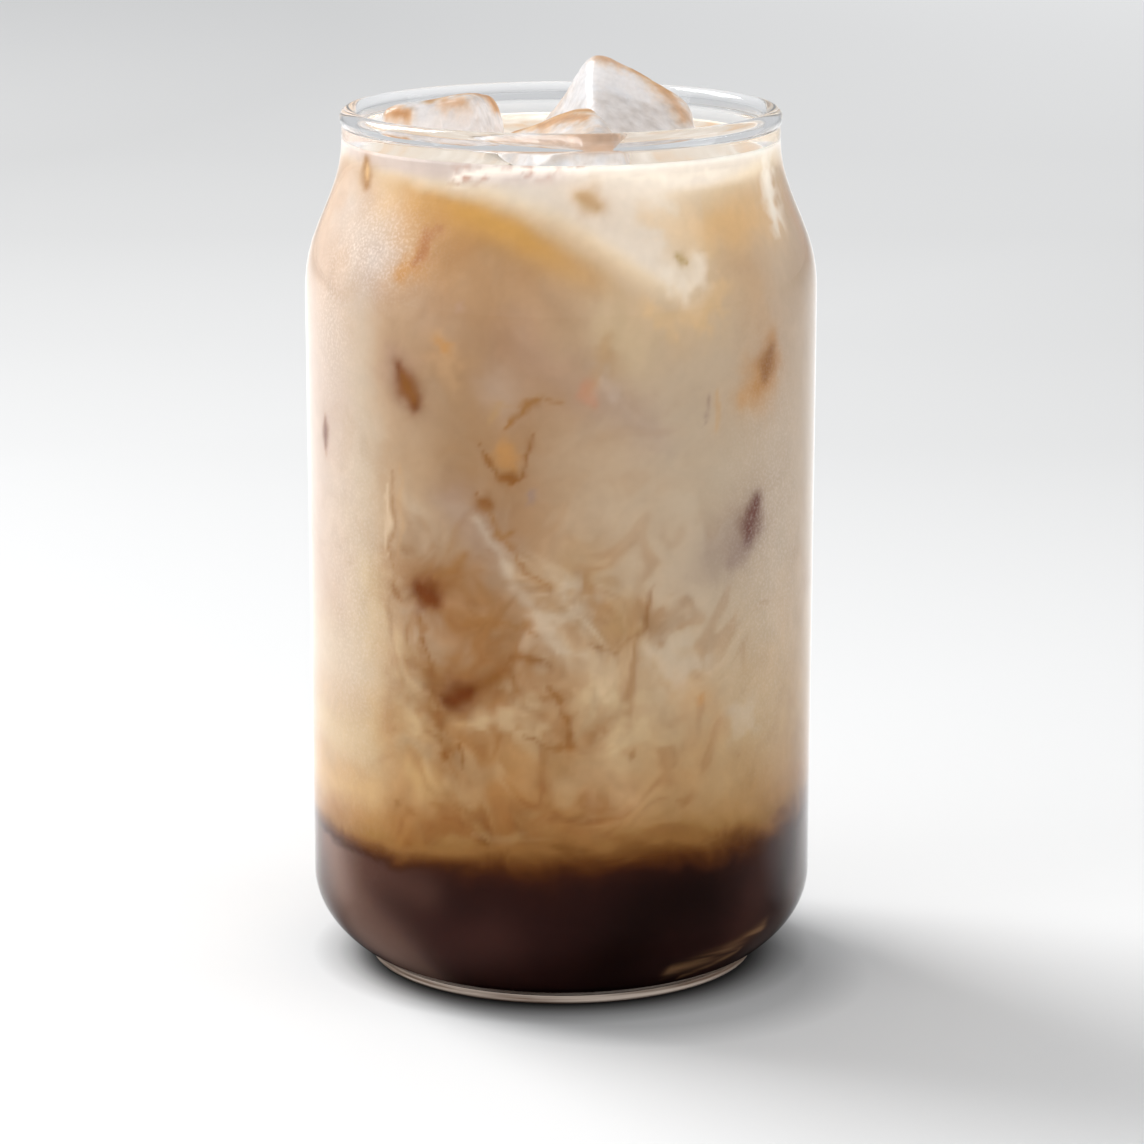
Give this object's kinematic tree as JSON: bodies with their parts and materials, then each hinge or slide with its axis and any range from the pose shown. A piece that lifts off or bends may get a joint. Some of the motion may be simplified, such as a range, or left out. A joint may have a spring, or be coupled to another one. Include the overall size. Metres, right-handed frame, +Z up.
{
  "type": "iced coffee horchata in a glass",
  "caption": "Iced coffee horchata in a clear can-shaped glass: dark coffee below, marbled creamy horchata above, ice cubes standing out of the top.",
  "frame": {"origin": "middle of the glass's foot ring, on the surface it stands on", "axes": "+Z up along the glass's axis, the pictured front faces -Y, +X to the right"},
  "size_m": [0.0784, 0.0784, 0.1396],
  "materials": {
    "clear_glass": "smooth clear soda glass with a rolled rim and a light mist of condensation",
    "coffee": "dark brewed coffee, nearly opaque, standing in for a liquid",
    "horchata": "milky beige horchata marbled with light brown coffee, opaque, standing in for a liquid",
    "ice": "clear melting ice with soft edges and a faint beige tint where it meets the drink"
  },
  "bodies": {
    "root": {"glass": "clear_glass", "coffee_layer": "coffee", "horchata": "horchata", "ice_back_right": "ice", "ice_left": "ice", "ice_front": "ice"}
  },
  "joints": []
}
